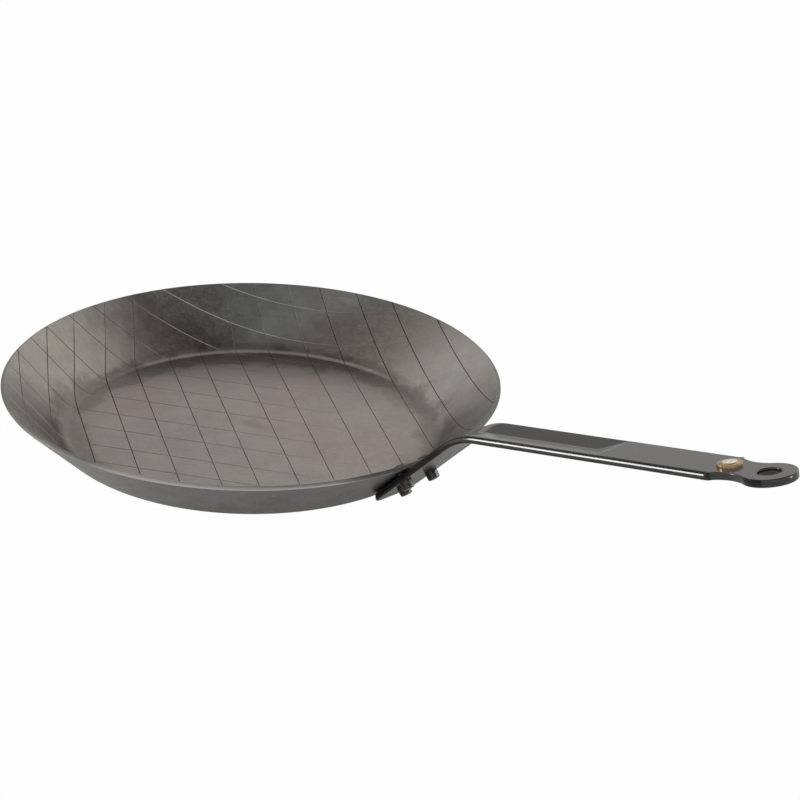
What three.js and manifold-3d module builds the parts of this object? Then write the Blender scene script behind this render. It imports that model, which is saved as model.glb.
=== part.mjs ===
// Round steel grill pan: a pressed pan scored with a lattice of grooves, and a riveted strip handle.
// Millimetres, +Z up. The origin is the centre of the base, on the underside, and the handle runs along +X.
import * as THREE from 'three';
import { mergeVertices } from 'three/addons/utils/BufferGeometryUtils.js';
import Module from 'manifold-3d';

// Pan
const RIM_RADIUS = 130;
const BASE_RADIUS = 99.5; // where the wall and the base would meet outside, without the fillet
const WALL_ANGLE = THREE.MathUtils.degToRad(44); // from the horizontal
const SHEET = 2.5;
const BASE_FILLET = 14; // outside radius of the bend between base and wall
const PAN_SIDES = 80;
const FILLET_STEPS = 3;

// Grooves, scored as straight lines in the flat blank before it is pressed
const GROOVE_PITCH = 38.3; // from one pair of lines to the next
const GROOVE_PAIR = 20.2; // between the two lines of a pair
const GROOVE_ANGLE = THREE.MathUtils.degToRad(30.3); // each family's angle to the lattice's own axis
const LATTICE_TURN = THREE.MathUtils.degToRad(1.7); // the lattice's axis from the handle's
const GROOVE_WIDTH = 0.9;
const GROOVE_DEPTH = 0.45;
const GROOVE_MARGIN = 8; // no groove runs closer than this along the blank's edge
const GROOVE_RUN_OUT = 1.5; // how far a groove's cut runs past the rim
const GROOVE_STEP = 14; // longest straight step of a groove on the wall

// Handle
const STRIP_WIDTH = 25.4;
const STRIP_THICKNESS = 3.6;
const STRIP_EDGE = 1.4; // radius on the strip's edges
const FOOT_REACH = 12.7; // from the lower rivet to the foot's end
const FOOT_CORNER = 7; // radius of the foot's corners, seen from above
const LEG_ABOVE_RIM = 46; // up the slope from the rim to where leg and arm would meet, on top
const ARM_ANGLE = THREE.MathUtils.degToRad(14);
const BEND_RADIUS = 44; // on top of the strip
const BEND_STEPS = 6;
const ARM_TO_EYE = 181.6; // along the arm's top, from where leg and arm would meet to the hanging hole
const EYE_RADIUS = 12.6;
const EYE_HOLE_RADIUS = 5.25;
const EYE_CHAMFER = 0.6;
const WAIST_TO_EYE = 13.1; // from the narrowest place to the hanging hole
const WAIST_WIDTH = 17.6;
const NECK_STEPS = 6;
const LAP = 1; // how far forms of the handle run into each other where they are joined

// Pressed channel, from the top of the leg over the bend and along the arm
const CHANNEL_LEAD = 2.2; // how far down the leg from the bend it starts
const CHANNEL_END = 91; // along the arm's top, from where leg and arm would meet
const CHANNEL_WIDTH = 21.5;
const CHANNEL_DEPTH = 1.9;
const CHANNEL_RUN_IN = 8; // length of the slope at its start
const CHANNEL_RUN_OUT = 10; // and at its end

// Rivets, placed down from the rim by shares of the wall's straight length
const LOWER_RIVET = 0.607;
const UPPER_RIVETS = 0.218;
const RIVET_SPREAD = 17; // between the two upper rivets
const SHANK_RADIUS = 2.6;
const INNER_HEAD_RADIUS = 5.5;
const INNER_HEAD_HEIGHT = 1.8;
const OUTER_HEAD_RADIUS = 3.1;
const OUTER_HEAD_HEIGHT = 4;
const OUTER_HEAD_CHAMFER = 0.6;
const RIVET_SIDES = 18;

// Medallion
const MEDALLION_TO_EYE = 21.8;
const MEDALLION_RADIUS = 5.75;
const MEDALLION_HEIGHT = 1.2;
const MEDALLION_CHAMFER = 0.4;
const BOSS_RADIUS = 3.7; // of the low round centre
const BOSS_HEIGHT = 0.4;
const MEDALLION_SHANK_RADIUS = 2;

// Fits
const SEAT_GAP = 0.3; // between pieces that rest on each other
const HOLE_GAP = 0.3; // round a shank in its hole
const PASS = 5; // how far a cutter runs past the face that it cuts
const ROUND_SIDES = 24;
const CORNER_STEPS = 3;
const WELD = 1e-4; // corners closer than this are one

// Finishes
const PAN_STEEL = { color: 0x77736f, roughness: 0.45, metalness: 1 };
const HANDLE_COAT = { color: 0x353534, roughness: 0.25, metalness: 0 };
const RIVET_STEEL = { color: 0x3c3d3c, roughness: 0.4, metalness: 1 };
const MEDALLION_COPPER = { color: 0xb98a63, roughness: 0.35, metalness: 1 };

const QUARTER = Math.PI / 2;

const wasm = await Module();
wasm.setup();

// Turns a closed geometry into a solid that can be joined and cut.
function solid(geometry) {
  const bare = geometry.clone();
  bare.deleteAttribute('normal');
  bare.deleteAttribute('uv');
  const merged = mergeVertices(bare, WELD);
  return new wasm.Manifold(new wasm.Mesh({
    numProp: 3,
    vertProperties: new Float32Array(merged.attributes.position.array),
    triVerts: new Uint32Array(merged.index.array),
  }));
}

// Turns a solid back into a geometry.
function geometryOf(body) {
  const mesh = body.getMesh();
  const geometry = new THREE.BufferGeometry();
  geometry.setAttribute('position', new THREE.BufferAttribute(mesh.vertProperties, 3));
  geometry.setIndex(new THREE.BufferAttribute(mesh.triVerts, 1));
  geometry.computeVertexNormals();
  return geometry;
}

// Revolves a profile of [radius, height] points, listed upwards on the outside, about Z.
function revolve(profile, sides) {
  const points = profile.map(([radius, height]) => new THREE.Vector2(radius, height));
  return new THREE.LatheGeometry(points, sides).rotateX(QUARTER);
}

// A cylinder along Z between two heights.
function cylinder(radius, low, high) {
  const geometry = new THREE.CylinderGeometry(radius, radius, high - low, ROUND_SIDES);
  return geometry.rotateX(QUARTER).translate(0, 0, (low + high) / 2);
}

// A path of steps, each with a place and a direction that the swept section keeps as its own up.
class StepPath extends THREE.Curve {
  constructor(steps) {
    super();
    this.places = steps.map(({ place }) => place);
    this.ups = steps.map(({ up }) => up);
    this.count = steps.length - 1;
  }

  getPoint(t, target = new THREE.Vector3()) {
    const along = THREE.MathUtils.clamp(t, 0, 1) * this.count;
    const index = Math.min(Math.floor(along), this.count - 1);
    return target.lerpVectors(this.places[index], this.places[index + 1], along - index);
  }

  getUtoTmapping(u) {
    return u;
  }

  computeFrenetFrames() {
    const tangents = this.ups.map((_, i) => this.getTangentAt(i / this.count));
    const normals = this.ups.map((up, i) => up.clone().cross(tangents[i]).normalize());
    const binormals = tangents.map((tangent, i) => tangent.clone().cross(normals[i]));
    return { tangents, normals, binormals };
  }
}

// Carries a section along a path of steps.
function sweep(section, steps) {
  const path = new StepPath(steps);
  return new THREE.ExtrudeGeometry(section, { steps: path.count, extrudePath: path, bevelEnabled: false });
}

// Joins rings of as many corners each, listed along the body, into a closed body.
function loft(rings) {
  const count = rings[0].length;
  const corner = (ring, i) => ring * count + (i % count);
  const triangles = [];
  for (let ring = 1; ring < rings.length; ring += 1) {
    for (let i = 0; i < count; i += 1) {
      triangles.push(corner(ring - 1, i), corner(ring - 1, i + 1), corner(ring, i + 1));
      triangles.push(corner(ring - 1, i), corner(ring, i + 1), corner(ring, i));
    }
  }
  for (let i = 2; i < count; i += 1) {
    triangles.push(corner(0, 0), corner(0, i), corner(0, i - 1));
    triangles.push(corner(rings.length - 1, 0), corner(rings.length - 1, i - 1), corner(rings.length - 1, i));
  }
  return new THREE.BufferGeometry().setFromPoints(rings.flat()).setIndex(triangles);
}

// Points of an arc from one angle to another.
function arc(centre, radius, from, to, steps) {
  return Array.from({ length: steps + 1 }, (_, i) => {
    const angle = from + ((to - from) * i) / steps;
    return [centre[0] + radius * Math.cos(angle), centre[1] + radius * Math.sin(angle)];
  });
}

function flatShape(outline) {
  return new THREE.Shape(outline.map(([x, y]) => new THREE.Vector2(x, y)));
}

// Pan profile
const wallCos = Math.cos(WALL_ANGLE);
const wallSin = Math.sin(WALL_ANGLE);
const floorRadius = BASE_RADIUS - BASE_FILLET * Math.tan(WALL_ANGLE / 2);
const filletCentre = [floorRadius, BASE_FILLET];
const innerFillet = BASE_FILLET - SHEET;
const filletEnd = WALL_ANGLE - QUARTER;
const rimOuter = [RIM_RADIUS, (RIM_RADIUS - BASE_RADIUS) * Math.tan(WALL_ANGLE)];
const rimInner = [rimOuter[0] - SHEET * wallSin, rimOuter[1] + SHEET * wallCos];
const wallFoot = [floorRadius + innerFillet * wallSin, BASE_FILLET - innerFillet * wallCos];
const straightWall = Math.hypot(rimInner[0] - wallFoot[0], rimInner[1] - wallFoot[1]);

// The blank's lengths, from its centre along the upper side
const filletStartLength = floorRadius;
const filletEndLength = filletStartLength + innerFillet * WALL_ANGLE;
const blankRadius = filletEndLength + straightWall;

// Where a point of the flat blank ends up on the upper side of the pressed pan, and the way up from it.
function pressed(x, y) {
  const length = Math.hypot(x, y);
  const turn = THREE.MathUtils.clamp((length - filletStartLength) / innerFillet, 0, WALL_ANGLE);
  const onFloor = Math.min(length, filletStartLength);
  const onWall = Math.max(length - filletEndLength, 0);
  const radius = onFloor + innerFillet * Math.sin(turn) + onWall * wallCos;
  const height = BASE_FILLET - innerFillet * Math.cos(turn) + onWall * wallSin;
  const tilt = -Math.sin(turn);
  return {
    place: new THREE.Vector3((radius * x) / length, (radius * y) / length, height),
    up: new THREE.Vector3((tilt * x) / length, (tilt * y) / length, Math.cos(turn)),
  };
}

// Even steps over a stretch of a groove, without its first end.
function stretch(from, to, fewest) {
  const count = Math.max(Math.ceil((to - from) / GROOVE_STEP), fewest);
  return Array.from({ length: count }, (_, i) => from + ((to - from) * (i + 1)) / count);
}

// The steps of one groove, at an offset from the pan's centre, from rim to rim.
function grooveSteps(angle, offset) {
  const reach = (length) => Math.sqrt(Math.max(length ** 2 - offset ** 2, 0));
  const filletFoot = reach(filletStartLength);
  const filletTop = reach(filletEndLength);
  const rim = reach(blankRadius + GROOVE_RUN_OUT);
  const inFillet = filletTop > filletFoot ? stretch(filletFoot, filletTop, FILLET_STEPS) : [];
  const outwards = [...inFillet, ...stretch(filletTop, rim, 1)];
  const middle = filletFoot > 0 ? [-filletFoot, filletFoot] : [0];
  const line = [...outwards.map((t) => -t).reverse(), ...middle, ...outwards];
  return line.map((t) => pressed(
    t * Math.cos(angle) - offset * Math.sin(angle),
    t * Math.sin(angle) + offset * Math.cos(angle),
  ));
}

function grooveOffsets() {
  const offsets = [];
  const pairs = Math.ceil(blankRadius / GROOVE_PITCH);
  for (let pair = -pairs; pair <= pairs; pair += 1) {
    offsets.push(pair * GROOVE_PITCH - GROOVE_PAIR / 2);
    offsets.push(pair * GROOVE_PITCH + GROOVE_PAIR / 2);
  }
  return offsets.filter((offset) => Math.abs(offset) < blankRadius - GROOVE_MARGIN);
}

// Handle frames: X along the strip, Z out of its upper face
const legOrigin = new THREE.Vector3(rimOuter[0] + SEAT_GAP * wallSin, 0, rimOuter[1] - SEAT_GAP * wallCos);
const legFrame = new THREE.Matrix4().makeRotationY(-WALL_ANGLE).setPosition(legOrigin);
const armOrigin = new THREE.Vector3(LEG_ABOVE_RIM, 0, 0).applyMatrix4(legFrame);
const armFrame = new THREE.Matrix4().makeRotationY(-ARM_ANGLE).setPosition(armOrigin);
const wallInside = SEAT_GAP + SHEET; // height of the pan's inner face over the strip's upper face
const lowerRivetAlong = -straightWall * LOWER_RIVET;
const cornersAlong = lowerRivetAlong - FOOT_REACH + FOOT_CORNER;
const upperRivetsAlong = -straightWall * UPPER_RIVETS;
const bendReach = BEND_RADIUS * Math.tan((WALL_ANGLE - ARM_ANGLE) / 2); // from its ends to where leg and arm would meet
const waistAlong = ARM_TO_EYE - WAIST_TO_EYE;
const medallionAlong = ARM_TO_EYE - MEDALLION_TO_EYE;

const rivets = [
  { name: 'rivet_left', along: upperRivetsAlong, across: RIVET_SPREAD / 2 },
  { name: 'rivet_right', along: upperRivetsAlong, across: -RIVET_SPREAD / 2 },
  { name: 'rivet_lower', along: lowerRivetAlong, across: 0 },
];

function rivetHoles() {
  const hole = cylinder(SHANK_RADIUS + HOLE_GAP, -STRIP_THICKNESS - PASS, wallInside + PASS);
  return rivets.map(({ along, across }) => {
    const placed = hole.clone().translate(along, across, 0);
    return solid(placed.applyMatrix4(legFrame));
  });
}

function makePan() {
  const profile = [
    [0, 0],
    ...arc(filletCentre, BASE_FILLET, -QUARTER, filletEnd, FILLET_STEPS),
    rimOuter,
    rimInner,
    ...arc(filletCentre, innerFillet, filletEnd, -QUARTER, FILLET_STEPS),
    [0, SHEET],
  ];
  let pan = solid(revolve(profile, PAN_SIDES));
  const section = flatShape([[0, -GROOVE_DEPTH], [GROOVE_WIDTH, GROOVE_DEPTH], [-GROOVE_WIDTH, GROOVE_DEPTH]]);
  [-GROOVE_ANGLE, GROOVE_ANGLE].forEach((angle) => {
    grooveOffsets().forEach((offset) => {
      pan = pan.subtract(solid(sweep(section, grooveSteps(angle + LATTICE_TURN, offset))));
    });
  });
  rivetHoles().forEach((hole) => {
    pan = pan.subtract(hole);
  });
  return geometryOf(pan);
}

// One side of the strip in section, round at both edges, from its underside up.
function stripSide(half) {
  const edge = half - STRIP_EDGE;
  return [
    ...arc([edge, STRIP_EDGE - STRIP_THICKNESS], STRIP_EDGE, -QUARTER, 0, CORNER_STEPS),
    ...arc([edge, -STRIP_EDGE], STRIP_EDGE, 0, QUARTER, CORNER_STEPS),
  ];
}

// The strip's cross-section, its upper face level with the path.
function stripSection(half) {
  const otherSide = stripSide(half).map(([across, height]) => [-across, height]);
  return flatShape([...stripSide(half), ...otherSide.reverse()]);
}

// A step on a straight stretch of the strip's upper face.
function stepOn(frame, along) {
  return {
    place: new THREE.Vector3(along, 0, 0).applyMatrix4(frame),
    up: new THREE.Vector3(0, 0, 1).transformDirection(frame),
  };
}

// The strip's upper face round the bend, in side view.
function bendSteps() {
  const start = stepOn(legFrame, LEG_ABOVE_RIM - bendReach);
  const centre = start.place.addScaledVector(start.up, -BEND_RADIUS);
  const bend = arc([centre.x, centre.z], BEND_RADIUS, QUARTER + WALL_ANGLE, QUARTER + ARM_ANGLE, BEND_STEPS);
  return bend.map(([x, z]) => {
    const place = new THREE.Vector3(x, 0, z);
    return { place, up: place.clone().sub(centre).normalize() };
  });
}

// The strip's upper face in side view, from the foot's corners round the bend to the shoulder.
function stripSteps() {
  return [stepOn(legFrame, cornersAlong), ...bendSteps(), stepOn(armFrame, shoulder().along)];
}

// The neck's concave arc, tangent to the eye, and the shoulder where it leaves the strip's edge.
function shoulder() {
  const half = WAIST_WIDTH / 2;
  const reach = WAIST_TO_EYE ** 2 + half ** 2 - EYE_RADIUS ** 2;
  const radius = reach / (2 * (EYE_RADIUS - half));
  const rise = radius + half - STRIP_WIDTH / 2;
  const run = Math.sqrt(radius ** 2 - rise ** 2);
  return { radius, along: waistAlong - run, angle: Math.atan2(rise, run) };
}

// Neck and eye as one flat blank, drawn from the shoulder outwards.
function eyeShape() {
  const { radius, along, angle } = shoulder();
  const centreAcross = WAIST_WIDTH / 2 + radius;
  const touch = Math.atan2(centreAcross, WAIST_TO_EYE);
  const flat = STRIP_WIDTH / 2 - STRIP_EDGE;
  const neckSide = (side) => arc(
    [waistAlong, side * centreAcross],
    radius,
    side * (angle - Math.PI),
    -side * touch,
    NECK_STEPS,
  );
  const shape = flatShape([
    [along - LAP, -flat],
    ...neckSide(-1),
    ...arc([ARM_TO_EYE, 0], EYE_RADIUS, touch - Math.PI, Math.PI - touch, ROUND_SIDES).slice(1, -1),
    ...neckSide(1).reverse(),
    [along - LAP, flat],
  ]);
  const hole = arc([ARM_TO_EYE, 0], EYE_HOLE_RADIUS, 0, 2 * Math.PI, ROUND_SIDES).slice(1);
  shape.holes.push(flatShape(hole));
  return shape;
}

function makeEye() {
  const eye = new THREE.ExtrudeGeometry(eyeShape(), {
    depth: STRIP_THICKNESS - 2 * EYE_CHAMFER,
    bevelThickness: EYE_CHAMFER,
    bevelSize: EYE_CHAMFER,
    bevelOffset: -EYE_CHAMFER,
    bevelSegments: 1,
  });
  return solid(eye.translate(0, 0, EYE_CHAMFER - STRIP_THICKNESS).applyMatrix4(armFrame));
}

// The foot's end: two round corners and the straight edge between them.
function makeFoot() {
  const spread = STRIP_WIDTH / 2 - FOOT_CORNER;
  const corner = revolve([[0, -STRIP_THICKNESS], ...stripSide(FOOT_CORNER), [0, 0]], ROUND_SIDES);
  const edge = new THREE.ExtrudeGeometry(stripSection(FOOT_CORNER), { depth: 2 * spread, bevelEnabled: false });
  const forms = [
    edge.rotateX(QUARTER).translate(0, spread, 0),
    corner.clone().translate(0, spread, 0),
    corner.translate(0, -spread, 0),
  ].map((form) => solid(form.translate(cornersAlong, 0, 0).applyMatrix4(legFrame)));
  return forms[0].add(forms[1]).add(forms[2]);
}

// A shallow V along the strip, sloped at both ends, that hangs from a height on the strip.
function channelForm(top) {
  const steps = [
    stepOn(legFrame, LEG_ABOVE_RIM - bendReach - CHANNEL_LEAD),
    ...bendSteps(),
    stepOn(armFrame, CHANNEL_END - CHANNEL_RUN_OUT),
    stepOn(armFrame, CHANNEL_END),
  ];
  const half = CHANNEL_WIDTH / 2;
  return solid(loft(steps.map(({ place, up }) => {
    const runIn = place.distanceTo(steps[0].place) / CHANNEL_RUN_IN;
    const runOut = place.distanceTo(steps[steps.length - 1].place) / CHANNEL_RUN_OUT;
    const depth = CHANNEL_DEPTH * Math.min(runIn, runOut, 1);
    const section = [[-half, LAP], [-half, 0], [0, -depth], [half, 0], [half, LAP]];
    return section.map(([across, height]) => place.clone().addScaledVector(up, top + height).setY(across));
  })));
}

// The channel is hollow above and a ridge below, a strip's thickness apart.
function makeHandle() {
  const strip = solid(sweep(stripSection(STRIP_WIDTH / 2), stripSteps()));
  let handle = strip.add(makeFoot()).add(makeEye()).add(channelForm(-STRIP_THICKNESS));
  handle = handle.subtract(channelForm(0));

  const studHole = cylinder(MEDALLION_SHANK_RADIUS + HOLE_GAP, -STRIP_THICKNESS - PASS, PASS);
  handle = handle.subtract(solid(studHole.translate(medallionAlong, 0, 0).applyMatrix4(armFrame)));
  rivetHoles().forEach((hole) => {
    handle = handle.subtract(hole);
  });
  return geometryOf(handle);
}

// One rivet along Z, in the leg's frame: a low domed head inside the pan and an upset end outside.
function makeRivet(along, across) {
  const wallRadius = rimInner[0] + along * wallCos;
  const wallBow = ((Math.abs(across) + INNER_HEAD_RADIUS) ** 2 / (2 * wallRadius)) * wallSin;
  const headSeat = wallInside + wallBow + SEAT_GAP;
  const endSeat = -STRIP_THICKNESS - SEAT_GAP;
  const dome = (INNER_HEAD_RADIUS ** 2 + INNER_HEAD_HEIGHT ** 2) / (2 * INNER_HEAD_HEIGHT);
  const domeCentre = [0, headSeat + INNER_HEAD_HEIGHT - dome];
  const domeStart = Math.asin((dome - INNER_HEAD_HEIGHT) / dome);
  return revolve([
    [0, endSeat - OUTER_HEAD_HEIGHT],
    [OUTER_HEAD_RADIUS - OUTER_HEAD_CHAMFER, endSeat - OUTER_HEAD_HEIGHT],
    [OUTER_HEAD_RADIUS, endSeat - OUTER_HEAD_HEIGHT + OUTER_HEAD_CHAMFER],
    [OUTER_HEAD_RADIUS, endSeat],
    [SHANK_RADIUS, endSeat],
    [SHANK_RADIUS, headSeat],
    ...arc(domeCentre, dome, domeStart, QUARTER, CORNER_STEPS).slice(0, -1),
    [0, headSeat + INNER_HEAD_HEIGHT],
  ], RIVET_SIDES);
}

// A disc with a low round centre, on a shank that ends flush under the strip.
function makeMedallion() {
  const top = SEAT_GAP + MEDALLION_HEIGHT;
  return revolve([
    [0, -STRIP_THICKNESS],
    [MEDALLION_SHANK_RADIUS, -STRIP_THICKNESS],
    [MEDALLION_SHANK_RADIUS, SEAT_GAP],
    [MEDALLION_RADIUS, SEAT_GAP],
    [MEDALLION_RADIUS, top - MEDALLION_CHAMFER],
    [MEDALLION_RADIUS - MEDALLION_CHAMFER, top],
    [BOSS_RADIUS, top],
    [BOSS_RADIUS - BOSS_HEIGHT, top + BOSS_HEIGHT],
    [0, top + BOSS_HEIGHT],
  ], ROUND_SIDES);
}

function piece(name, geometry, finish) {
  const mesh = new THREE.Mesh(geometry, new THREE.MeshStandardMaterial(finish));
  mesh.name = name;
  return mesh;
}

const leg = new THREE.Group();
leg.rotation.y = -WALL_ANGLE;
leg.position.copy(legOrigin);
rivets.forEach(({ name, along, across }) => {
  const rivet = piece(name, makeRivet(along, across), RIVET_STEEL);
  rivet.position.set(along, across, 0);
  leg.add(rivet);
});

const arm = new THREE.Group();
arm.rotation.y = -ARM_ANGLE;
arm.position.copy(armOrigin);
const medallion = piece('medallion', makeMedallion(), MEDALLION_COPPER);
medallion.position.set(medallionAlong, 0, 0);
arm.add(medallion);

const grillPan = new THREE.Group();
grillPan.add(piece('pan_body', makePan(), PAN_STEEL));
grillPan.add(piece('handle', makeHandle(), HANDLE_COAT));
grillPan.add(leg);
grillPan.add(arm);

export default grillPan;
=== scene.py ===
"""Round steel grill pan: a scored and pressed pan with a riveted strip handle, in metres."""
import math

import bmesh
import bpy
from mathutils import Matrix, Vector


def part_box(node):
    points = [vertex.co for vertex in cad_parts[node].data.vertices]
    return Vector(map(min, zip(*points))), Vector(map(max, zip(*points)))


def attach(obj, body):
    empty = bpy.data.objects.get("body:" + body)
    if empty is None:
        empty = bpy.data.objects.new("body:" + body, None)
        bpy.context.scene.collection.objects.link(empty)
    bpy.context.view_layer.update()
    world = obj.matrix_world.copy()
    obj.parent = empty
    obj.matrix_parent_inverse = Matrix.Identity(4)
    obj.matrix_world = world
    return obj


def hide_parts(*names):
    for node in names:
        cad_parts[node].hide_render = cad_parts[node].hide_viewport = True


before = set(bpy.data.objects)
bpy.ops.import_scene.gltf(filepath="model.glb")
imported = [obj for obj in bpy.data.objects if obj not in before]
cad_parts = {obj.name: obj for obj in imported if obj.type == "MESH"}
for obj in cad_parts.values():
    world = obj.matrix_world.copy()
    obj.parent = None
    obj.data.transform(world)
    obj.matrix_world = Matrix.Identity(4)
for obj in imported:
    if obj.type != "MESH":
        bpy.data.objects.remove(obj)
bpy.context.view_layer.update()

pan_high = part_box("pan_body")[1]

# Pan, from its packed box and the sheet's own sizes
RIM_RADIUS = pan_high.y
SHEET = 0.0025
WALL_ANGLE = math.radians(44)
BASE_FILLET = 0.014
RIM_ROUND = 0.0004
PAN_SIDES = 240
FLOOR_RINGS = 4
FILLET_RINGS = 9
WALL_RINGS = 5

WALL_COS = math.cos(WALL_ANGLE)
WALL_SIN = math.sin(WALL_ANGLE)
RIM_OUTER_HEIGHT = pan_high.z - SHEET * WALL_COS
BASE_RADIUS = RIM_RADIUS - RIM_OUTER_HEIGHT / math.tan(WALL_ANGLE)
INNER_FILLET = BASE_FILLET - SHEET
FLOOR_RADIUS = BASE_RADIUS - BASE_FILLET * math.tan(WALL_ANGLE / 2)
FILLET_TOP = FLOOR_RADIUS + INNER_FILLET * WALL_ANGLE
STRAIGHT_WALL = (RIM_RADIUS - SHEET * WALL_SIN - FLOOR_RADIUS - INNER_FILLET * WALL_SIN) / WALL_COS
BLANK_RADIUS = FILLET_TOP + STRAIGHT_WALL

# Grooves, scored in the flat blank
GROOVE_PITCH = 0.0383
GROOVE_PAIR = 0.0202
GROOVE_ANGLE = math.radians(30.3)
LATTICE_TURN = math.radians(1.7)
GROOVE_WIDTH = 0.0006
GROOVE_DEPTH = 0.0003
CROSS_FADE = 0.005
CROSS_SHARE = 0.4
GROOVE_MARGIN = 0.008

# The sheet's rolling direction, and sides of the pan that use has marked in different ways, towards which painted shade
# and highlights also change
ROLLING_ANGLE = math.radians(46.3)
RESIDUE_SIDE = Vector((-0.69, -0.72, 0))
FAR_SIDE = Vector((-0.72, 0.69, 0))
SMOKED_SIDE = Vector((-0.92, 0.40, 0))
RIM_RESIDUE = 0.5
# How much lighter the rim's rounds are: steel showing through from wear, with a painted highlight
RIM_ROUND_BARENESS_AND_HIGHLIGHT = 0.35

# Handle strip, its lengths measured along its upper face from the pan's rim
STRIP_WIDTH = 0.0254
STRIP_THICKNESS = 0.0036
FOOT_REACH = 0.0127
FOOT_CORNER = 0.007
EYE_EDGE = 0.0006
SEAT_GAP = 0.0003
ARM_ANGLE = math.radians(14)
BEND_RADIUS = 0.044
LEG_TO_CORNER = 0.046
CORNER_TO_EYE = 0.1812
EYE_RADIUS = 0.0124
EYE_HOLE_RADIUS = 0.00525
WAIST_TO_EYE = 0.0142
WAIST_WIDTH = 0.0176
CHANNEL_LEAD = 0.0022
CHANNEL_END = 0.091
CHANNEL_WIDTH = 0.0215
CHANNEL_DEPTH = 0.0019
CHANNEL_RUN_IN = 0.008
CHANNEL_RUN_OUT = 0.010
CHANNEL_ROUND = 0.0010

BEND_TANGENT = BEND_RADIUS * math.tan((WALL_ANGLE - ARM_ANGLE) / 2)
BEND_START = LEG_TO_CORNER - BEND_TANGENT
BEND_END = BEND_START + BEND_RADIUS * (WALL_ANGLE - ARM_ANGLE)
CORNER = BEND_END - BEND_TANGENT
EYE = CORNER + CORNER_TO_EYE
WAIST = EYE - WAIST_TO_EYE

# Section of the strip's edge from its upper face down, as insets from the side and depths, and its creased rows
STRIP_EDGE = 0.0016
STRIP_EDGE_FORM = ((0.00158, 0), (0.00115, 0.00038), (0.00078, 0.00088), (0.00063, 0.00112),
                   (0.00036, 0.00162), (0.00015, 0.00215), (0, 0.00262))
STRIP_EDGE_STEPS = len(STRIP_EDGE_FORM) - 1
FLANK_CREASES = ({3}, {4})
LOWER_EDGE_SHARE = 0.35

# Where the strip is cut into faces fine enough for its bend and channel
EDGE_MARGIN = 0.0002
SHOULDER_CUTS = (0.0008, 0.0016)
ACROSS_STEP = 0.0006
BEND_STEP = 0.0012
RUN_OUT_STEP = 0.0006
RUN_OUT_BEFORE = 0.003
RUN_OUT_AFTER = 0.002

# Rivets and medallion
LOWER_RIVET = STRAIGHT_WALL * 0.607
UPPER_RIVETS = STRAIGHT_WALL * 0.218
FOOT_CORNERS = FOOT_CORNER - FOOT_REACH - LOWER_RIVET
RIVET_SPREAD = 0.017
RIVET_SIDES = 40
SHANK_RADIUS = 0.0026
INNER_HEAD_RADIUS = 0.0055
INNER_HEAD_HEIGHT = 0.0018
OUTER_HEAD_RADIUS = 0.0031
OUTER_HEAD_HEIGHT = 0.004
OUTER_HEAD_ROUND = 0.0007
OUTER_HEAD_DISH = 0.0002
OUTER_HEAD_DISH_RADIUS = 0.0015
OUTER_HEAD_FLARE = 0.0001
# Which way the painted highlight on the rivets' outer heads faces
HIGHLIGHT_SIDE = Vector((0.70, 0.45, 0.55))
MEDALLION = EYE - 0.0218
MEDALLION_SIDES = 64
MEDALLION_RADIUS = 0.00575
MEDALLION_HEIGHT = 0.0012
MEDALLION_ROUND = 0.0003
MEDALLION_SHANK = 0.002
BOSS_RADIUS = 0.0037
BOSS_HEIGHT = 0.0004
BOSS_CROWN = 0.00002
BOSS_CROWN_RADIUS = 0.001

# Camera, fitted to the photo
CAMERA_TARGET = Vector((0.0536, 0.0560, 0.0199))
CAMERA_DISTANCE = 1.332
CAMERA_AZIMUTH = math.radians(46.3)
CAMERA_PITCH = math.radians(24.67)
CAMERA_ROLL = math.radians(1.88)
CAMERA_LENS = 114.5
CAMERA_SENSOR = 36

# Studio: the sky's grey levels by height, and darker fields in it. Each field has its direction as (right, back, up)
# from the camera, the cosines of the angles at which it starts and is full, and its change of the level
SKY_LOW = 0.58
SKY = ((0.1, 0.68), (0.2, 0.80), (0.35, 0.92), (0.5, 1.0), (0.6, 0.95), (0.68, 0.68), (0.75, 0.42),
       (0.85, 0.35), (1, 0.3))
SKY_TINT = (1, 0.985, 0.945)
SKY_FIELDS = (((0.40, -0.26, 0.88), 0.91, 0.985, -0.32), ((0, 0.05, 1), 0.93, 0.995, -0.14),
              ((-0.68, 0.05, 0.73), 0.93, 0.985, -0.2), ((-0.25, 0.92, 0.30), 0.95, 0.985, -0.42))
STUDIO_RADIUS = 4
WHITE = (1, 1, 1, 1)

# Colours of the finishes; a pair is the two ends of a patchy one
WALL_STEEL = ((0.334, 0.318, 0.292, 1), (0.318, 0.311, 0.300, 1))
FLOOR_STEEL = ((0.380, 0.327, 0.316, 1), (0.370, 0.342, 0.330, 1))
# Brown patina colour, also used for painted shade at the back of the floor
BROWNED_AND_SHADED_STEEL = (0.150, 0.137, 0.121, 1)
# Colour of a painted highlight on the fillet at the back
FILLET_HIGHLIGHT_STEEL = (0.46, 0.44, 0.42, 1)
CENTRE_STAIN = (0.17, 0.155, 0.145, 1)
BLUED_STEEL = (0.300, 0.312, 0.322, 1)
RESIDUE_BLACK = (0.065, 0.060, 0.056, 1)
# Bright steel colour, used also for painted highlights on the rim and in the cross grooves
BARE_STEEL_AND_HIGHLIGHT = (0.50, 0.495, 0.485, 1)
COAT_BLACK = ((0.009, 0.009, 0.0085, 1), (0.014, 0.0135, 0.0125, 1))
RIVET_BLACK = ((0.04, 0.04, 0.039, 1), (0.07, 0.068, 0.066, 1))
# Colour of the painted highlight on the rivets
RIVET_HIGHLIGHT = (0.55, 0.54, 0.53, 1)
COPPER = ((0.36, 0.25, 0.14, 1), (0.50, 0.36, 0.21, 1))
POLISHED_CENTRE = (0.92, 0.87, 0.80, 1)
BROWNING_AND_SHADE = 0.58

SHARP = math.radians(38)
WELD = 1e-7


# Shapes

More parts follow.
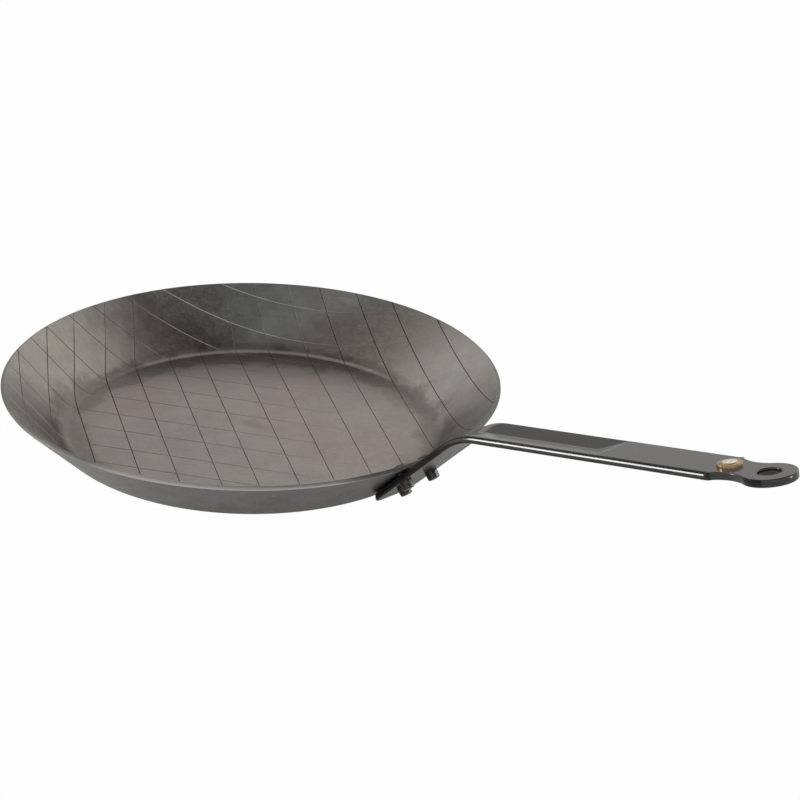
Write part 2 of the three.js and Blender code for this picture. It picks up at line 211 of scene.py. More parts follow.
def arc(centre, radius, start, end, steps):
    points = []
    for step in range(steps + 1):
        angle = start + (end - start) * step / steps
        points.append((centre[0] + radius * math.cos(angle), centre[1] + radius * math.sin(angle)))
    return points


def eased(value, low, high):
    """How far a value has come from low to high, from 0 to 1 with soft ends."""
    share = min(max((value - low) / (high - low), 0), 1)
    return share * share * (3 - 2 * share)


def revolve(profile, sides):
    """A closed solid from a profile of (radius, height) points that starts and ends on the axis."""
    bm = bmesh.new()
    verts = [bm.verts.new((radius, 0, height)) for radius, height in profile]
    edges = [bm.edges.new(pair) for pair in zip(verts, verts[1:])]
    bmesh.ops.spin(bm, geom=verts + edges, cent=(0, 0, 0), axis=(0, 0, 1), angle=math.tau,
                   steps=sides, use_merge=True)
    bmesh.ops.remove_doubles(bm, verts=bm.verts, dist=WELD)
    bmesh.ops.recalc_face_normals(bm, faces=bm.faces)
    return bm


def cut(bm, place, across):
    """Cuts all faces along a plane and keeps both sides."""
    bmesh.ops.bisect_plane(bm, geom=bm.verts[:] + bm.edges[:] + bm.faces[:], dist=WELD,
                           plane_co=place, plane_no=across)


def in_scene(name, data):
    made = bpy.data.objects.new(name, data)
    bpy.context.scene.collection.objects.link(made)
    return made


def finish(bm, name, material):
    """Turns a bmesh into a smooth piece that stands for the node of the same name."""
    bmesh.ops.recalc_face_normals(bm, faces=bm.faces)
    for face in bm.faces:
        face.smooth = True
    for edge in bm.edges:
        edge.smooth = edge.smooth and edge.calc_face_angle(0) < SHARP
    mesh = bpy.data.meshes.new(name + "_finished")
    bm.to_mesh(mesh)
    bm.free()
    mesh.materials.append(material)
    piece = in_scene(name + "_finished", mesh)
    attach(piece, "root")
    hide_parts(name)


# Pan

def pressed(point):
    """Where a point of the flat blank ends up in the pressed pan. Its z is 0 on the upper face."""
    length = math.hypot(point.x, point.y)
    if length < WELD:
        return Vector((0, 0, SHEET + point.z))
    out = Vector((point.x, point.y, 0)) / length
    turn = min(max((length - FLOOR_RADIUS) / INNER_FILLET, 0), WALL_ANGLE)
    on_wall = max(length - FILLET_TOP, 0)
    radius = min(length, FLOOR_RADIUS) + INNER_FILLET * math.sin(turn) + on_wall * WALL_COS
    height = BASE_FILLET - INNER_FILLET * math.cos(turn) + on_wall * WALL_SIN
    up = Vector((0, 0, math.cos(turn))) - out * math.sin(turn)
    return out * radius + Vector((0, 0, height)) + up * point.z


def blank_profile():
    """Half the flat blank in section, with a ring for each step of the floor, fillet and wall."""
    edge = BLANK_RADIUS - RIM_ROUND
    rings = []
    for start, end, count in ((0, FLOOR_RADIUS, FLOOR_RINGS), (FLOOR_RADIUS, FILLET_TOP, FILLET_RINGS),
                              (FILLET_TOP, edge, WALL_RINGS)):
        rings += [start + (end - start) * step / count for step in range(count)]
    rings += [edge - RIM_ROUND / 2]
    upper_round = arc((edge, -RIM_ROUND), RIM_ROUND, math.pi / 2, 0, 3)
    lower_round = arc((edge, RIM_ROUND - SHEET), RIM_ROUND, 0, -math.pi / 2, 3)
    upper = [(ring, 0) for ring in rings]
    lower = [(ring, -SHEET) for ring in reversed(rings)]
    return upper + upper_round + lower_round + lower


def groove_lines(angle):
    """The parallel grooves at one angle, each as the direction across it and its distance from the centre."""
    across = Vector((-math.sin(angle), math.cos(angle), 0))
    pairs = math.ceil(BLANK_RADIUS / GROOVE_PITCH)
    offsets = [pair * GROOVE_PITCH + side * GROOVE_PAIR
               for pair in range(-pairs, pairs + 1) for side in (-0.5, 0.5)]
    return [(across, offset) for offset in offsets if abs(offset) < BLANK_RADIUS - GROOVE_MARGIN]


def upper_side(bm):
    """The flat blank's upper face, up to the round of its edge."""
    verts = [vert for vert in bm.verts if vert.co.z > -WELD]
    chosen = set(verts)
    edges = [edge for edge in bm.edges if chosen.issuperset(edge.verts)]
    faces = [face for face in bm.faces if chosen.issuperset(face.verts)]
    return verts + edges + faces


def on_line(point, lines):
    return any(abs(point.dot(across) - offset) < 10 * WELD for across, offset in lines)


def towards(point, side):
    """How far a point of the blank lies to one side, as a share of the blank's radius."""
    return point.dot(side) / BLANK_RADIUS


def up_the_wall(point):
    return eased(math.hypot(point.x, point.y), FLOOR_RADIUS, FILLET_TOP)


def cross_depth(point):
    """How much of a cross groove the press leaves: least in the fillet on one side and on the other side's wall."""
    length = math.hypot(point.x, point.y)
    side = towards(point, RESIDUE_SIDE)
    in_fillet = eased(length, FLOOR_RADIUS - 2 * CROSS_FADE, FLOOR_RADIUS - CROSS_FADE)
    in_fillet -= eased(length, FILLET_TOP - CROSS_FADE, FILLET_TOP)
    return CROSS_SHARE * (1 - in_fillet * eased(side, 0.2, 0.4)) * (1 - 0.8 * eased(-side, -0.1, 0.4))


def smoothed(point):
    """Where the press has all but closed the long grooves: a stretch of the far wall."""
    side = towards(point, RESIDUE_SIDE)
    return eased(side, 0.1, 0.2) * (1 - eased(side, 0.44, 0.52))


def long_depth(point):
    """How much of a long groove the press leaves: least where it climbs straight up the far wall."""
    side = towards(point, RESIDUE_SIDE)
    lost = (0.75 + 0.2 * smoothed(point)) * (1 - eased(-side, 0.16, 0.22))
    return 1 - lost * eased(towards(point, FAR_SIDE), 0.42, 0.55)


def long_residue(point):
    """How much dark residue a long groove holds: full on the floor, less on the wall."""
    side = towards(point, RESIDUE_SIDE)
    on_wall = up_the_wall(point)
    held = 1 - on_wall * (0.65 - 0.4 * eased(side, 0.35, 0.6) - 0.45 * eased(-side, 0.0, 0.3))
    return held * (1 - on_wall * smoothed(point) * eased(towards(point, FAR_SIDE), 0.42, 0.55))


def cross_residue(point):
    """How much dark residue a cross groove holds: only on one side of the pan."""
    side = towards(point, RESIDUE_SIDE)
    on_floor = 0.5 * eased(side, -0.15, 0.5)
    rubbed_and_painted_highlight = eased(-towards(point, FAR_SIDE), -0.02, 0.1)
    return on_floor + (eased(side, 0.42, 0.6) * (1 - rubbed_and_painted_highlight) - on_floor) * up_the_wall(point)


def cross_bareness_and_highlight(point):
    """How far a cross groove is lightened, partly scored steel showing and partly a painted highlight: on the far wall,
    and a little low on the residue side.
    """
    side = towards(point, RESIDUE_SIDE)
    far = towards(point, FAR_SIDE)
    on_far_wall = eased(far, 0.45, 0.6) * (1 - eased(side, 0.38, 0.5)) * (1 - eased(-side, 0.0, 0.4))
    return 0.45 * on_far_wall + 0.95 * eased(side, 0.55, 0.7) * eased(-far, -0.02, 0.1)


def rim_bareness_and_highlight(point):
    """How far the rim's face shows light steel, partly wear and partly a painted highlight: in front, dull at the back
    and by the handle.
    """
    return eased(-towards(point, FAR_SIDE), 0.8, 0.97) * (1 - eased(point.x / BLANK_RADIUS, 0.92, 0.98))


def score(bm, lines):
    """Cuts the two edges and the bottom line of each groove into the blank, still flat."""
    for across, offset in lines:
        for side in (-0.5, 0, 0.5):
            place = across * (offset + side * GROOVE_WIDTH)
            made = bmesh.ops.bisect_plane(bm, geom=upper_side(bm), dist=WELD, plane_co=place, plane_no=across)
            for item in made["geom_cut"]:
                if isinstance(item, bmesh.types.BMEdge):
                    item.smooth = False


def make_pan(material):
    bm = revolve(blank_profile(), PAN_SIDES)
    long_lines = groove_lines(LATTICE_TURN - GROOVE_ANGLE)
    cross_lines = groove_lines(LATTICE_TURN + GROOVE_ANGLE)
    score(bm, long_lines + cross_lines)
    residue = bm.verts.layers.float.new("residue")
    bare_and_highlight = bm.verts.layers.float.new("bare_and_highlight")
    outside = bm.verts.layers.float.new("outside")
    for vert in bm.verts:
        vert[outside] = vert.co.z < RIM_ROUND / 2 - SHEET
        if vert.co.z > -WELD and on_line(vert.co, cross_lines):
            vert[residue] = cross_residue(vert.co)
            vert[bare_and_highlight] = cross_bareness_and_highlight(vert.co)
            vert.co.z = -GROOVE_DEPTH * cross_depth(vert.co)
        if vert.co.z > -GROOVE_DEPTH - WELD and on_line(vert.co, long_lines):
            vert[residue] = long_residue(vert.co)
            vert[bare_and_highlight] = 0
            vert.co.z = -GROOVE_DEPTH * long_depth(vert.co)
        past_edge = math.hypot(vert.co.x, vert.co.y) - (BLANK_RADIUS - RIM_ROUND)
        if past_edge > WELD:
            # The rim: light steel with a painted highlight, more on its rounds.
            vert[bare_and_highlight] = rim_bareness_and_highlight(vert.co) + (0 if past_edge > RIM_ROUND - WELD else RIM_ROUND_BARENESS_AND_HIGHLIGHT)
            vert[residue] = RIM_RESIDUE
    for vert in bm.verts:
        vert.co = pressed(vert.co)
    finish(bm, "pan_body", material)


# Handle

def bent(point):
    """Where a point of the straight strip ends up on the bent handle. Its z is 0 on the upper face."""
    leg_start = Vector((RIM_RADIUS + SEAT_GAP * WALL_SIN, 0, RIM_OUTER_HEIGHT - SEAT_GAP * WALL_COS))
    bend_start = leg_start + Vector((WALL_COS, 0, WALL_SIN)) * BEND_START
    centre = bend_start + Vector((WALL_SIN, 0, -WALL_COS)) * BEND_RADIUS
    turn = min(max((point.x - BEND_START) / BEND_RADIUS, 0), WALL_ANGLE - ARM_ANGLE)
    slope = WALL_ANGLE - turn
    along = Vector((math.cos(slope), 0, math.sin(slope)))
    up = Vector((-math.sin(slope), 0, math.cos(slope)))
    past = min(point.x - BEND_START, 0) + max(point.x - BEND_END, 0)
    return centre + up * (BEND_RADIUS + point.z) + along * past + Vector((0, point.y, 0))


def soft_least(values, width):
    """The least of some values, eased where two of them meet."""
    least = values[0]
    for value in values[1:]:
        share = min(max(0.5 + 0.5 * (value - least) / width, 0), 1)
        least = value + (least - value) * share - width * share * (1 - share)
    return least


def channel_depth(point):
    """How deep the pressed channel is at a place on the strip."""
    steep = CHANNEL_DEPTH / (CHANNEL_WIDTH / 2)
    sides = [(CHANNEL_WIDTH / 2 - point.y) * steep, (CHANNEL_WIDTH / 2 + point.y) * steep]
    ends = [(point.x - BEND_START + CHANNEL_LEAD) * CHANNEL_DEPTH / CHANNEL_RUN_IN,
            (CORNER + CHANNEL_END - point.x) * CHANNEL_DEPTH / CHANNEL_RUN_OUT]
    ease = 2 * CHANNEL_ROUND * steep
    inside = soft_least([soft_least(sides, ease), soft_least(ends, ease)], ease)
    return -soft_least([0, -inside], ease)


def half_outline():
    """One side of the flat strip, from the foot's tip round the eye and back round its hole, and its shoulder."""
    half = STRIP_WIDTH / 2
    waist = WAIST_WIDTH / 2
    neck = (WAIST_TO_EYE ** 2 + waist ** 2 - EYE_RADIUS ** 2) / (2 * (EYE_RADIUS - waist))
    rise = neck + waist - half
    run = math.sqrt(neck ** 2 - rise ** 2)
    touch = math.atan2(waist + neck, WAIST_TO_EYE)
    foot = [(-LOWER_RIVET - FOOT_REACH, 0)]
    foot += arc((FOOT_CORNERS, half - FOOT_CORNER), FOOT_CORNER, math.pi, math.pi / 2, 12)
    neck_side = arc((WAIST, waist + neck), neck, math.atan2(rise, run) - math.pi, -touch, 14)
    eye = arc((EYE, 0), EYE_RADIUS, math.pi - touch, 0, 26)
    hole = arc((EYE, 0), EYE_HOLE_RADIUS, 0, math.pi, 20)
    return foot + neck_side + eye[1:] + hole, WAIST - run


def flat_strip(outline):
    """The flat strip with sharp edges, from one side of its outline."""
    bm = bmesh.new()
    half = bm.faces.new([bm.verts.new((along, across, 0)) for along, across in outline])
    bmesh.ops.mirror(bm, geom=[half] + half.verts[:] + half.edges[:], matrix=Matrix.Identity(4),
                     merge_dist=WELD, axis="Y")
    bmesh.ops.remove_doubles(bm, verts=bm.verts, dist=WELD)
    bmesh.ops.recalc_face_normals(bm, faces=bm.faces)
    made = bmesh.ops.extrude_face_region(bm, geom=bm.faces[:], use_keep_orig=True)["geom"]
    lower = [item for item in made if isinstance(item, bmesh.types.BMVert)]
    bmesh.ops.translate(bm, verts=lower, vec=(0, 0, -STRIP_THICKNESS))
    bmesh.ops.recalc_face_normals(bm, faces=bm.faces)
    return bm


def round_edges(bm, start, end, size, steps):
    """Rounds the strip's upper and lower edges over a stretch of its length."""
    rims = [edge for edge in bm.edges if edge.calc_face_angle(0) > 1 and
            abs(edge.verts[0].co.z - edge.verts[1].co.z) < WELD and
            start < sum(vert.co.x for vert in edge.verts) / 2 < end]
    bmesh.ops.bevel(bm, geom=rims, offset=size, segments=steps, profile=0.5, affect="EDGES", material=-1)


def form_strip_edge(bm, shoulder):
    """Turns the plain round of the strip's edges into two flanks with a blunt middle."""
    spread = STRIP_WIDTH / 2 - FOOT_CORNER
    rows = {}
    for vert in bm.verts:
        centre = Vector((min(max(vert.co.x, FOOT_CORNERS), shoulder), min(max(vert.co.y, -spread), spread),
                         vert.co.z))
        out = vert.co - centre
        inset = FOOT_CORNER - out.length
        depth = min(-vert.co.z, STRIP_THICKNESS + vert.co.z)
        if vert.co.x > shoulder - WELD or inset > STRIP_EDGE - WELD or depth > STRIP_EDGE + WELD:
            continue
        row = round(math.acos(max(1 - depth / STRIP_EDGE, 0)) / (math.pi / 2) * STRIP_EDGE_STEPS)
        new_inset, new_depth = STRIP_EDGE_FORM[row]
        upper = vert.co.z > -STRIP_THICKNESS / 2
        share = 1 if upper else LOWER_EDGE_SHARE
        vert.co = centre + out.normalized() * (FOOT_CORNER - share * new_inset)
        vert.co.z = -new_depth if upper else share * new_depth - STRIP_THICKNESS
        rows[vert] = row
    bm.normal_update()
    for edge in bm.edges:
        ends = {rows.get(vert) for vert in edge.verts}
        tilts = [abs(face.normal.z) for face in edge.link_faces]
        edge.smooth = ends not in FLANK_CREASES and not max(tilts) > 0.999 > min(tilts)


def steps_between(start, end, step):
    count = math.ceil((end - start) / step)
    return [start + (end - start) * index / count for index in range(count + 1)]


def edge_dullness(point):
    """How far the gloss is lost: round the foot's edge, which is sooty, and on the round and underside of the arm's."""
    spread = STRIP_WIDTH / 2 - FOOT_CORNER
    aside = math.hypot(max(FOOT_CORNERS - point.x, 0), max(abs(point.y) - spread, 0))
    at_edge = eased(aside, FOOT_CORNER - 0.0015, FOOT_CORNER - 0.0012)
    on_leg = eased(-point.x, -BEND_START - 0.006, 0.010 - BEND_START)
    on_round = 0.9 * (1 - eased(-point.z, 0.00092, 0.00108))
    below = 0.5 * eased(-point.z, STRIP_THICKNESS * 0.55, STRIP_THICKNESS * 0.66)
    return at_edge * max(0.75 * on_leg, on_round, below)


def make_handle(material):
    outline, shoulder = half_outline()
    bm = flat_strip(outline)
    round_edges(bm, -1, shoulder - WELD, STRIP_EDGE, STRIP_EDGE_STEPS)
    round_edges(bm, shoulder + WELD, 1, EYE_EDGE, 3)
    near_cut, far_cut = SHOULDER_CUTS
    cut(bm, (shoulder - near_cut, 0, 0), (1, 0, 0))
    form_strip_edge(bm, shoulder)

    side = STRIP_WIDTH / 2 - STRIP_EDGE - EDGE_MARGIN
    for across in steps_between(-side, side, ACROSS_STEP):
        cut(bm, (0, across, 0), (0, 1, 0))
    channel_end = CORNER + CHANNEL_END
    run_out = steps_between(channel_end - CHANNEL_RUN_OUT - RUN_OUT_BEFORE, channel_end + RUN_OUT_AFTER, RUN_OUT_STEP)
    for along in steps_between(-LOWER_RIVET, BEND_END, BEND_STEP) + run_out + [shoulder - far_cut]:
        cut(bm, (along, 0, 0), (1, 0, 0))

    dull = bm.verts.layers.float.new("dull")
    for vert in bm.verts:
        vert[dull] = edge_dullness(vert.co)
        vert.co.z -= channel_depth(vert.co)
        vert.co = bent(vert.co)
    finish(bm, "handle", material)


# Rivets and medallion

def seat(along, across):
    """The frame of a place on the handle's upper face, with Z out of it."""
    place = bent(Vector((along, across, 0)))
    slope = WALL_ANGLE if along < BEND_START else ARM_ANGLE
    return Matrix.Translation(place) @ Matrix.Rotation(-slope, 4, "Y")


def rivet_profile(head, end):
    """Half a rivet in section: the outer head below the strip, the shank, and the domed inner head."""
    tip = end - OUTER_HEAD_HEIGHT
    top = head + INNER_HEAD_HEIGHT
    dome = (INNER_HEAD_RADIUS ** 2 + INNER_HEAD_HEIGHT ** 2) / (2 * INNER_HEAD_HEIGHT)
    dome_start = math.asin((dome - INNER_HEAD_HEIGHT) / dome)
    profile = [(0, tip + OUTER_HEAD_DISH), (OUTER_HEAD_DISH_RADIUS, tip)]
    profile += arc((OUTER_HEAD_RADIUS - OUTER_HEAD_ROUND, tip + OUTER_HEAD_ROUND), OUTER_HEAD_ROUND,
                   -math.pi / 2, 0, 4)
    profile += [(OUTER_HEAD_RADIUS + OUTER_HEAD_FLARE, end), (SHANK_RADIUS, end), (SHANK_RADIUS, head)]
    return profile + arc((0, top - dome), dome, dome_start, math.pi / 2, 7)[:-1] + [(0, top)]


def make_rivet(name, down, across, material):
    wall_radius = RIM_RADIUS - SHEET * WALL_SIN - down * WALL_COS
    wall_bow = (abs(across) + INNER_HEAD_RADIUS) ** 2 / (2 * wall_radius) * WALL_SIN
    end = -STRIP_THICKNESS
    bm = revolve(rivet_profile(SEAT_GAP + SHEET + wall_bow, end), RIVET_SIDES)
    bare_and_highlight = bm.verts.layers.float.new("bare_and_highlight")
    # Painted highlight: the outer head is lighter on the side that faces the light.
    rubbed_and_painted_highlight = seat(-down, across).to_3x3().inverted() @ HIGHLIGHT_SIDE
    for vert in bm.verts:
        if vert.co.z < end - WELD:
            vert[bare_and_highlight] = eased(Vector((vert.co.x, vert.co.y, 0)).dot(rubbed_and_painted_highlight) / OUTER_HEAD_RADIUS, 0.7, 0.95)
    bmesh.ops.transform(bm, matrix=seat(-down, across), verts=bm.verts)
    finish(bm, name, material)


def make_medallion(material):
    low = SEAT_GAP + MEDALLION_HEIGHT
    top = low + BOSS_HEIGHT
    edge = MEDALLION_ROUND
    profile = [(0, -STRIP_THICKNESS), (MEDALLION_SHANK, -STRIP_THICKNESS), (MEDALLION_SHANK, 0),
               (MEDALLION_RADIUS, 0)]
    profile += arc((MEDALLION_RADIUS - edge, low - edge), edge, 0, math.pi / 2, 3)
    profile += [(BOSS_RADIUS + edge, low)]
    profile += arc((BOSS_RADIUS - edge, top - edge), edge, 0, math.pi / 2, 3)
    profile += [(BOSS_CROWN_RADIUS, top + BOSS_CROWN), (0, top + BOSS_CROWN)]
    bm = revolve(profile, MEDALLION_SIDES)
    bmesh.ops.transform(bm, matrix=seat(MEDALLION, 0), verts=bm.verts)
    finish(bm, "medallion", material)


# Shader nodes

def connect(tree, node, inputs):
    """Gives a node its inputs, each as a value or as a socket to link."""
    for key, value in inputs.items():
        if isinstance(value, bpy.types.NodeSocket):
            tree.links.new(value, node.inputs[key])
        elif value is not None:
            node.inputs[key].default_value = value


def add(tree, kind, inputs=None, **settings):
    """A shader node with its settings and inputs."""
    node = tree.nodes.new(kind)
    for name, value in settings.items():
        setattr(node, name, value)
    connect(tree, node, inputs or {})
    return node


def effect(name, inputs, outputs):
    """An empty node group with named sockets, and its input and output nodes."""
    tree = bpy.data.node_groups.new(name, "ShaderNodeTree")
    for socket, kind, value in inputs:
        made = tree.interface.new_socket(socket, in_out="INPUT", socket_type=kind)
        if value is not None:
            made.default_value = value
    for socket, kind in outputs:
        tree.interface.new_socket(socket, in_out="OUTPUT", socket_type=kind)
    return tree, tree.nodes.new("NodeGroupInput"), tree.nodes.new("NodeGroupOutput")


def math_node(tree, operation, first, second=None, third=None, clamp=False):
    node = add(tree, "ShaderNodeMath", {0: first, 1: second, 2: third}, operation=operation, use_clamp=clamp)
    return node.outputs[0]


def times(tree, first, *others):
    for other in others:
        first = math_node(tree, "MULTIPLY", first, other)
    return first


def plus(tree, mask, amount, base, clamp=False):
    """A base value with an amount added where a mask is 1."""
    return math_node(tree, "MULTIPLY_ADD", mask, amount, base, clamp)


def vector_value(tree, operation, first, second=None):
    """The number that a vector operation gives, such as a length or a distance."""
    return add(tree, "ShaderNodeVectorMath", {0: first, 1: second}, operation=operation).outputs["Value"]


def scaled(tree, vector, factor):
    return add(tree, "ShaderNodeVectorMath", {0: vector, "Scale": factor}, operation="SCALE").outputs[0]


def between(tree, value, low, high):
    """A mask that goes from 0 at one value to 1 at another."""
    node = add(tree, "ShaderNodeMapRange", {"Value": value, "From Min": low, "From Max": high},
               interpolation_type="SMOOTHSTEP")
    return node.outputs["Result"]


def mix(tree, mask, first, second):
    return add(tree, "ShaderNodeMix", {0: mask, 6: first, 7: second}, data_type="RGBA").outputs[2]


def attribute(tree, name):
    return add(tree, "ShaderNodeAttribute", attribute_name=name).outputs["Fac"]


def placed(tree, group, inputs):
    return add(tree, "ShaderNodeGroup", inputs, node_tree=group).outputs[0]


def patchy(tree, patches, place, per_metre, low, high):
    return placed(tree, patches, {"Place": place, "Per metre": per_metre, "Low": low, "High": high})


# Finishes

def make_patches():
    """Soft cloudy patches of a given size."""
    tree, given, out = effect("patches", [
        ("Place", "NodeSocketVector", None), ("Per metre", "NodeSocketFloat", 40.0),
        ("Low", "NodeSocketFloat", 0.35), ("High", "NodeSocketFloat", 0.65)],
        [("Mask", "NodeSocketFloat")])
    noise = add(tree, "ShaderNodeTexNoise", {"Vector": given.outputs["Place"], "Scale": given.outputs["Per metre"],
                                             "Detail": 5.0, "Roughness": 0.6})
    mask = between(tree, noise.outputs["Fac"], given.outputs["Low"], given.outputs["High"])
    tree.links.new(mask, out.inputs["Mask"])
    return tree


def make_grain():
    """Fine grain drawn out along one direction, as rolling leaves it."""
    tree, given, out = effect("rolled_grain", [
        ("Place", "NodeSocketVector", None), ("Per metre", "NodeSocketVector", (60.0, 1800.0, 1800.0))],
        [("Height", "NodeSocketFloat")])
    stretched = add(tree, "ShaderNodeVectorMath", {0: given.outputs["Place"], 1: given.outputs["Per metre"]},
                    operation="MULTIPLY")
    noise = add(tree, "ShaderNodeTexNoise", {"Vector": stretched.outputs[0], "Scale": 1.0, "Detail": 3.0,
                                             "Roughness": 0.65})
    tree.links.new(noise.outputs["Fac"], out.inputs["Height"])
    return tree


def new_material(name, metallic=0.0):
    material = bpy.data.materials.new(name)
    material.use_nodes = True
    tree = material.node_tree
    shader = tree.nodes["Principled BSDF"]
    shader.inputs["Metallic"].default_value = metallic
    place = add(tree, "ShaderNodeTexCoord").outputs["Object"]
    return material, tree, shader, place


def dress(tree, shader, colour, rough, height, strength, distance):
    """Links a finish's colour, roughness and bump to its shader."""
    bump = add(tree, "ShaderNodeBump", {"Height": height, "Strength": strength, "Distance": distance})
    connect(tree, shader, {"Base Color": colour, "Roughness": rough, "Normal": bump.outputs[0]})


def pan_places(tree, place, patches, grain):
    """What the pan's finish varies with: places in metres, masks of its two faces, patches and streaks."""
    split = add(tree, "ShaderNodeSeparateXYZ", {0: place})
    flat = add(tree, "ShaderNodeCombineXYZ", {0: split.outputs[0], 1: split.outputs[1]})
    radius = vector_value(tree, "LENGTH", flat.outputs[0])
    outside = attribute(tree, "outside")
    blotch = patchy(tree, patches, place, 55.0, 0.3, 0.7)
    turned = add(tree, "ShaderNodeVectorRotate", {"Vector": place, "Angle": -ROLLING_ANGLE},
                 rotation_type="Z_AXIS")
    return {
        "place": place,
        "radius": radius,
        "ragged": plus(tree, blotch, 0.012, radius),
        "far": plus(tree, blotch, 0.008, vector_value(tree, "DOT_PRODUCT", place, FAR_SIDE)),
        "side": vector_value(tree, "DOT_PRODUCT", place, RESIDUE_SIDE),
        "smoke_and_painted_shade": vector_value(tree, "DOT_PRODUCT", place, SMOKED_SIDE),
        "outside": outside,
        "inside": math_node(tree, "SUBTRACT", 1.0, outside),
        "cloud": patchy(tree, patches, place, 11.0, 0.35, 0.65),
        "blotch": blotch,
        "mottle": patchy(tree, patches, place, 120.0, 0.35, 0.65),
        "speck": patchy(tree, patches, place, 420.0, 0.35, 0.7),
        "streak": placed(tree, grain, {"Place": turned.outputs[0], "Per metre": (45.0, 700.0, 700.0)}),
    }


def pan_tones(tree, at):
    """The steel's colours: grey wall, warmer floor, brown border, painted shade in brown at the back, a painted
    highlight ring on the back of the fillet, centre stain and blued patch.
    """
    on_floor = between(tree, at["ragged"], FLOOR_RADIUS + 0.016, FLOOR_RADIUS + 0.006)
    wall = mix(tree, at["cloud"], *WALL_STEEL)
    floor = mix(tree, at["cloud"], *FLOOR_STEEL)
    colour = mix(tree, times(tree, on_floor, at["inside"]), wall, floor)

    edge = plus(tree, between(tree, at["far"], 0.03, 0.08), 0.007, at["ragged"])
    border = times(tree, between(tree, edge, FLOOR_RADIUS - 0.006, FLOOR_RADIUS + 0.005),
                   between(tree, edge, FLOOR_RADIUS + 0.019, FLOOR_RADIUS + 0.011), at["inside"])
    # Painted shade: a brown band over the back of the floor, its fillet and the low wall behind, added to the border's
    # brown patina.
    smoke_and_painted_shade = times(tree, between(tree, at["far"], 0.045, 0.095), between(tree, at["far"], 0.122, 0.102),
                   between(tree, at["side"], 0.09, 0.062), at["inside"])
    brown_and_painted_shade = plus(tree, smoke_and_painted_shade, BROWNING_AND_SHADE, times(tree, border, BROWNING_AND_SHADE), clamp=True)
    colour = mix(tree, brown_and_painted_shade, colour, BROWNED_AND_SHADED_STEEL)

    # Painted highlight: a lighter ring low on the fillet, at the back of the pan.
    rubbed_and_painted_highlight = times(tree, between(tree, at["radius"], FLOOR_RADIUS, FLOOR_RADIUS + 0.0018),
                   between(tree, at["radius"], FLOOR_RADIUS + 0.0045, FLOOR_RADIUS + 0.0027),
                   between(tree, at["far"], 0.062, 0.088), at["inside"])
    colour = mix(tree, times(tree, rubbed_and_painted_highlight, 0.75), colour, FILLET_HIGHLIGHT_STEEL)
    stained = times(tree, between(tree, at["ragged"], 0.013, 0.004), at["inside"])
    colour = mix(tree, times(tree, stained, 0.3), colour, CENTRE_STAIN)
    from_patch = vector_value(tree, "DISTANCE", at["place"], FAR_SIDE * 0.114 + Vector((0, 0, 0.03)))
    blued = times(tree, between(tree, from_patch, 0.036, 0.016), at["inside"])
    return mix(tree, times(tree, blued, 0.8), colour, BLUED_STEEL)


def pan_shade(tree, at):
    """How light the steel is: streaks and blotches, less the wall's mottle and painted shade: over the wall and most
    low on it, a little on the floor, on the near side inside and on the outside.
    """
    on_wall = between(tree, at["radius"], FLOOR_RADIUS + 0.002, FLOOR_RADIUS + 0.009)
    off_wall = math_node(tree, "SUBTRACT", 1.0, on_wall)
    depth = plus(tree, between(tree, at["smoke_and_painted_shade"], 0.075, 0.115), 0.12, 0.08)
    mottle_and_painted_shade = times(tree, math_node(tree, "SUBTRACT", at["mottle"], 0.4), on_wall, depth)
    # Painted shade: the inside darker towards the near side.
    near = times(tree, between(tree, at["far"], 0.03, -0.035), at["inside"])
    # Painted shade: the wall darker all over and more so towards its bottom, and the floor a little darker.
    low = times(tree, plus(tree, between(tree, at["radius"], 0.130, 0.098), 0.33, 0.18), on_wall)
    mottle_and_painted_shade = plus(tree, near, plus(tree, off_wall, 0.07, low), mottle_and_painted_shade)
    # Painted shade on the outside, less of it towards the residue side.
    outside_painted_shade = plus(tree, between(tree, at["side"], 0.03, 0.09), -0.2, 0.3)
    mottle_and_painted_shade = plus(tree, at["outside"], outside_painted_shade, mottle_and_painted_shade)
    shade = plus(tree, at["blotch"], 0.10, plus(tree, at["streak"], 0.24, 0.84))
    return math_node(tree, "SUBTRACT", shade, mottle_and_painted_shade)


def pan_steel(patches, grain):
    material, tree, shader, place = new_material("pan_steel", metallic=1.0)
    at = pan_places(tree, place, patches, grain)
    residue = attribute(tree, "residue")
    bare_and_highlight = attribute(tree, "bare_and_highlight")
    colour = scaled(tree, pan_tones(tree, at), pan_shade(tree, at))
    colour = mix(tree, residue, colour, RESIDUE_BLACK)
    # Bright steel where the grooves and rim are scoured, partly a painted highlight.
    colour = mix(tree, bare_and_highlight, colour, BARE_STEEL_AND_HIGHLIGHT)
    rough = plus(tree, at["streak"], 0.10, plus(tree, at["speck"], 0.08, 0.30))
    rough = plus(tree, residue, 0.30, plus(tree, bare_and_highlight, -0.10, rough))
    height = placed(tree, grain, {"Place": place, "Per metre": (70.0, 2200.0, 2200.0)})
    dress(tree, shader, colour, rough, height, 0.12, 0.0002)
    return material


def handle_coat(patches):
    material, tree, shader, place = new_material("handle_coat")
    blotch = patchy(tree, patches, place, 70.0, 0.3, 0.7)
    peel = patchy(tree, patches, place, 900.0, 0.2, 0.8)
    gloss = plus(tree, attribute(tree, "dull"), -0.45, 0.5)
    connect(tree, shader, {"IOR": 1.7, "Specular IOR Level": gloss})
    leg_top = bent(Vector((BEND_START, 0, 0))).x
    along = add(tree, "ShaderNodeSeparateXYZ", {0: place}).outputs[0]
    on_leg = between(tree, along, leg_top + 0.012, leg_top - 0.004)
    rough = plus(tree, on_leg, 0.1, plus(tree, blotch, 0.05, 0.12))
    dress(tree, shader, mix(tree, blotch, *COAT_BLACK), rough, peel, 0.06, 0.0001)
    return material


